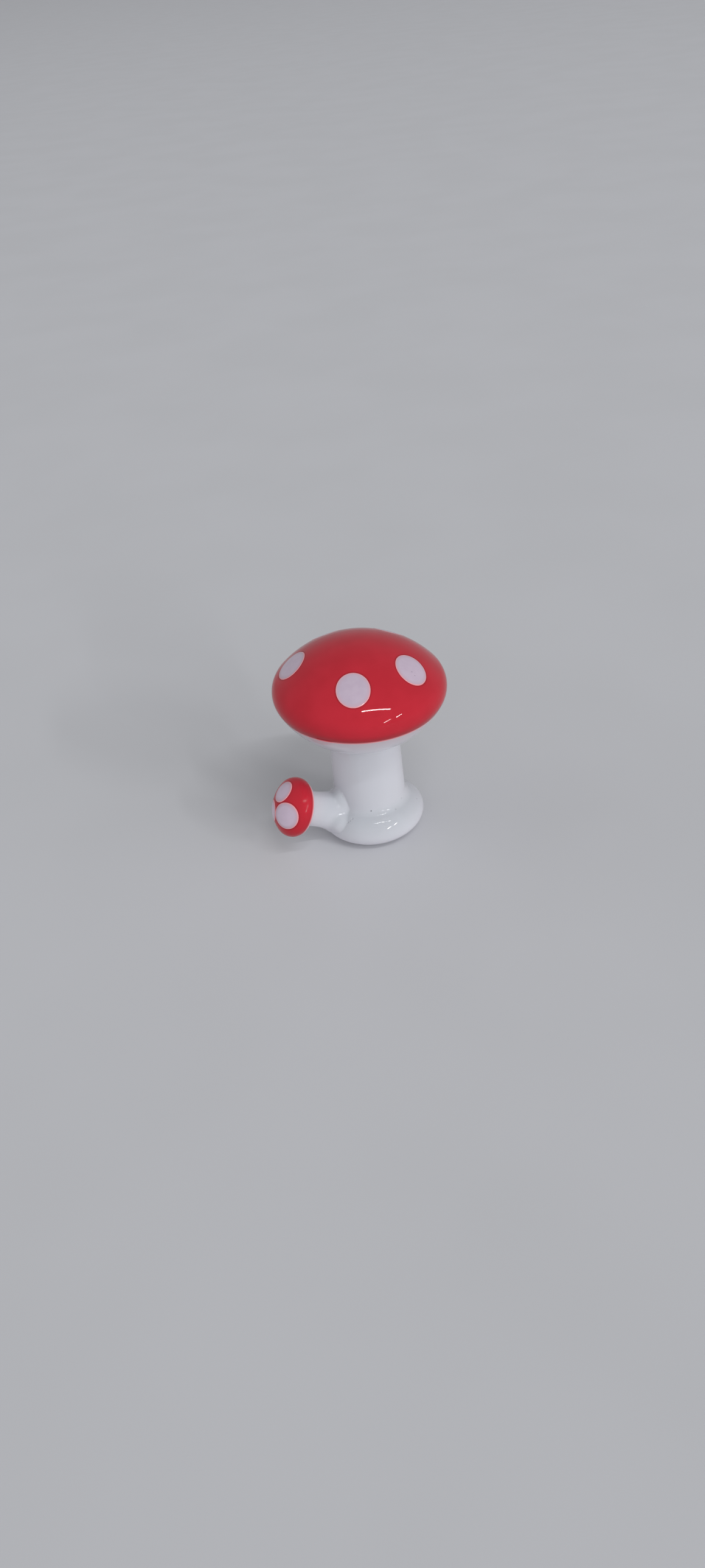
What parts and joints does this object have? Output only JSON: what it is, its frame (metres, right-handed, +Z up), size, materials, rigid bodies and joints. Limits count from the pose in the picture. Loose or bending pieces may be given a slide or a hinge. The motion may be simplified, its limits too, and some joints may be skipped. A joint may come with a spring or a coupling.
{
  "type": "glass mushroom ornament",
  "caption": "Small lampworked glass mushroom: a domed red cap with flush white dots on an opal white stem and foot, with a smaller mushroom leaning out from its side.",
  "frame": {"origin": "middle of the flat on which the foot rests", "axes": "+Z up along the stem; -Y is the side towards the viewer of the picture and +X its right; the small mushroom leans out to -X and -Y"},
  "size_m": [0.0184, 0.0168, 0.0213],
  "materials": {
    "opal_glass": "polished opal white",
    "red_glass": "polished red",
    "dot_glass": "polished lilac white"
  },
  "bodies": {
    "root": {"foot": "opal_glass", "stem": "opal_glass", "cap_core": "opal_glass", "cap_casing": "red_glass", "cap_dot_1": "dot_glass", "cap_dot_2": "dot_glass", "cap_dot_3": "dot_glass", "cap_dot_4": "dot_glass", "cap_dot_5": "dot_glass", "sprout_stem": "opal_glass", "sprout_cap_core": "opal_glass", "sprout_cap_casing": "red_glass", "sprout_cap_dot_1": "dot_glass", "sprout_cap_dot_2": "dot_glass", "sprout_cap_dot_3": "dot_glass"}
  },
  "joints": []
}
